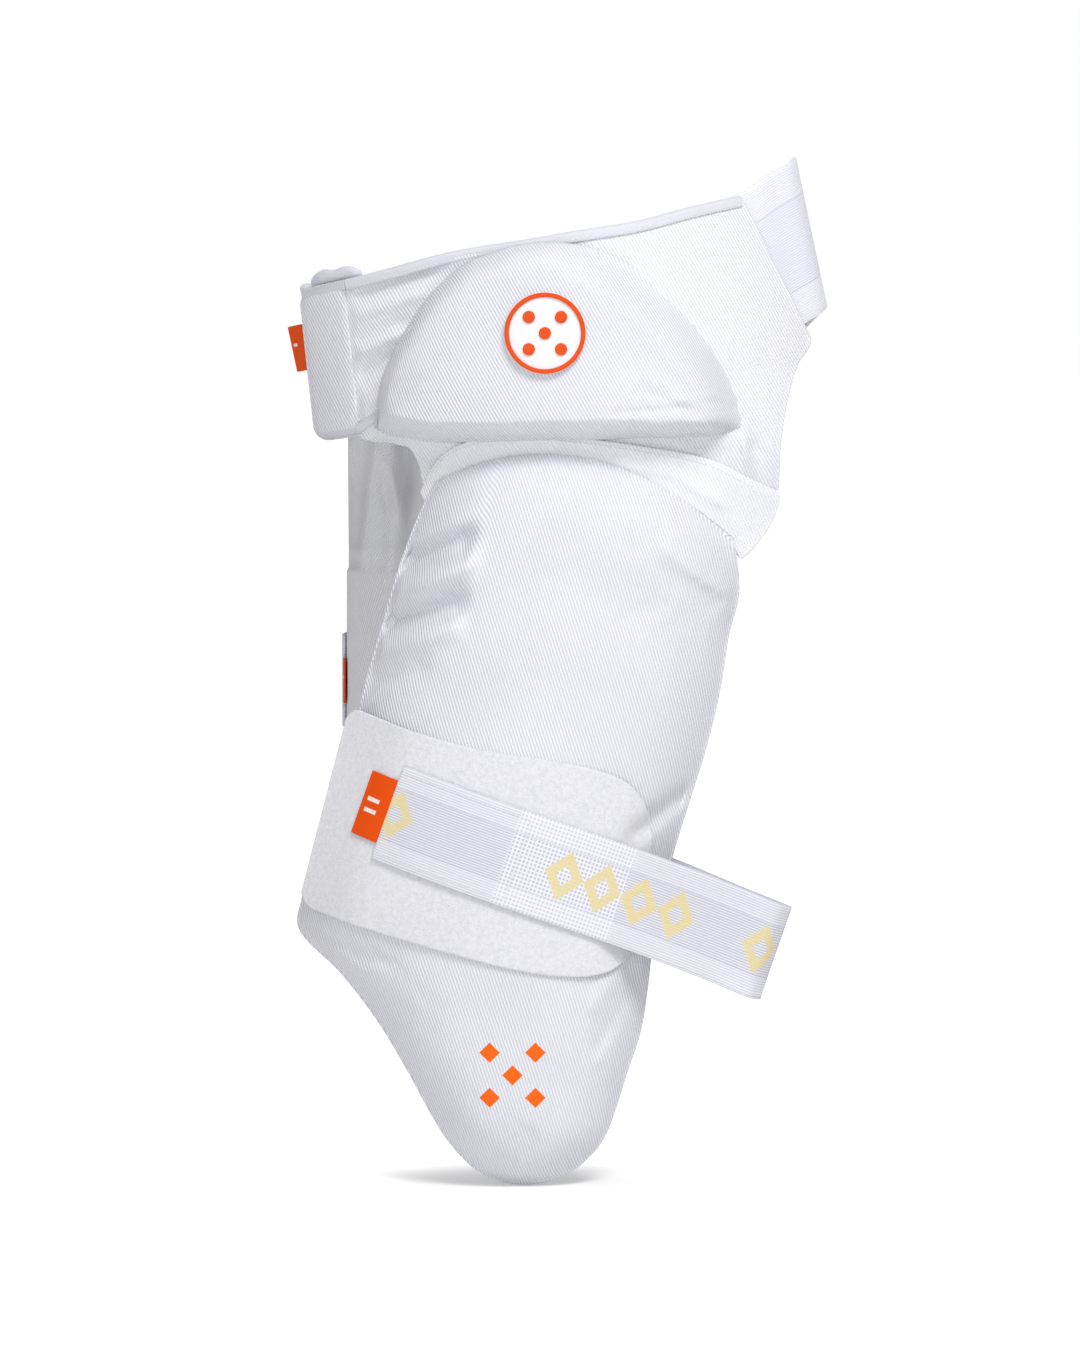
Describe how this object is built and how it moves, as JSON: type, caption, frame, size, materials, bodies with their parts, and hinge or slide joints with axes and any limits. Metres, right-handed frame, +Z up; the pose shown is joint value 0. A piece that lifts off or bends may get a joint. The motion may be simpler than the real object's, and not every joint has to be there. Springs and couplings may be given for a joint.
{
  "type": "cricket thigh guard",
  "caption": "Belted cricket guard with a padded hip panel, a long outer thigh pad, an inner thigh pad and elastic straps, kept in its worn form.",
  "frame": {"origin": "middle of the waist loop, where the guard sits on the hips", "axes": "+Z up, the outer thigh pad and the badge face -Y, the belt's closure tab is towards -X"},
  "size_m": [0.29, 0.296, 0.5407],
  "materials": {
    "cloth": "white warp-knit twill",
    "binding": "white folded binding",
    "elastic": "white woven ribbed elastic",
    "loop": "white brushed loop cloth",
    "label": "orange woven satin label",
    "badge_white": "white moulded rubber",
    "badge_orange": "orange moulded rubber"
  },
  "bodies": {
    "root": {"waist_band": "cloth", "band_top_binding": "binding", "band_lower_binding": "binding", "closure_tab": "cloth", "tab_binding": "binding", "belt_label": "label", "waist_elastic": "elastic", "hip_pad": "cloth", "badge_disc": "badge_white", "badge_ring": "badge_orange", "harness_cloth": "cloth", "pad_yoke": "cloth", "thigh_pad": "cloth", "loop_patch": "loop", "thigh_strap": "elastic", "strap_label": "label", "inner_cloth": "cloth", "inner_pad": "cloth", "inner_strap": "elastic", "inner_label": "label", "badge_dot_1": "badge_orange", "badge_dot_2": "badge_orange", "badge_dot_3": "badge_orange", "badge_dot_4": "badge_orange", "badge_dot_5": "badge_orange"}
  },
  "joints": []
}
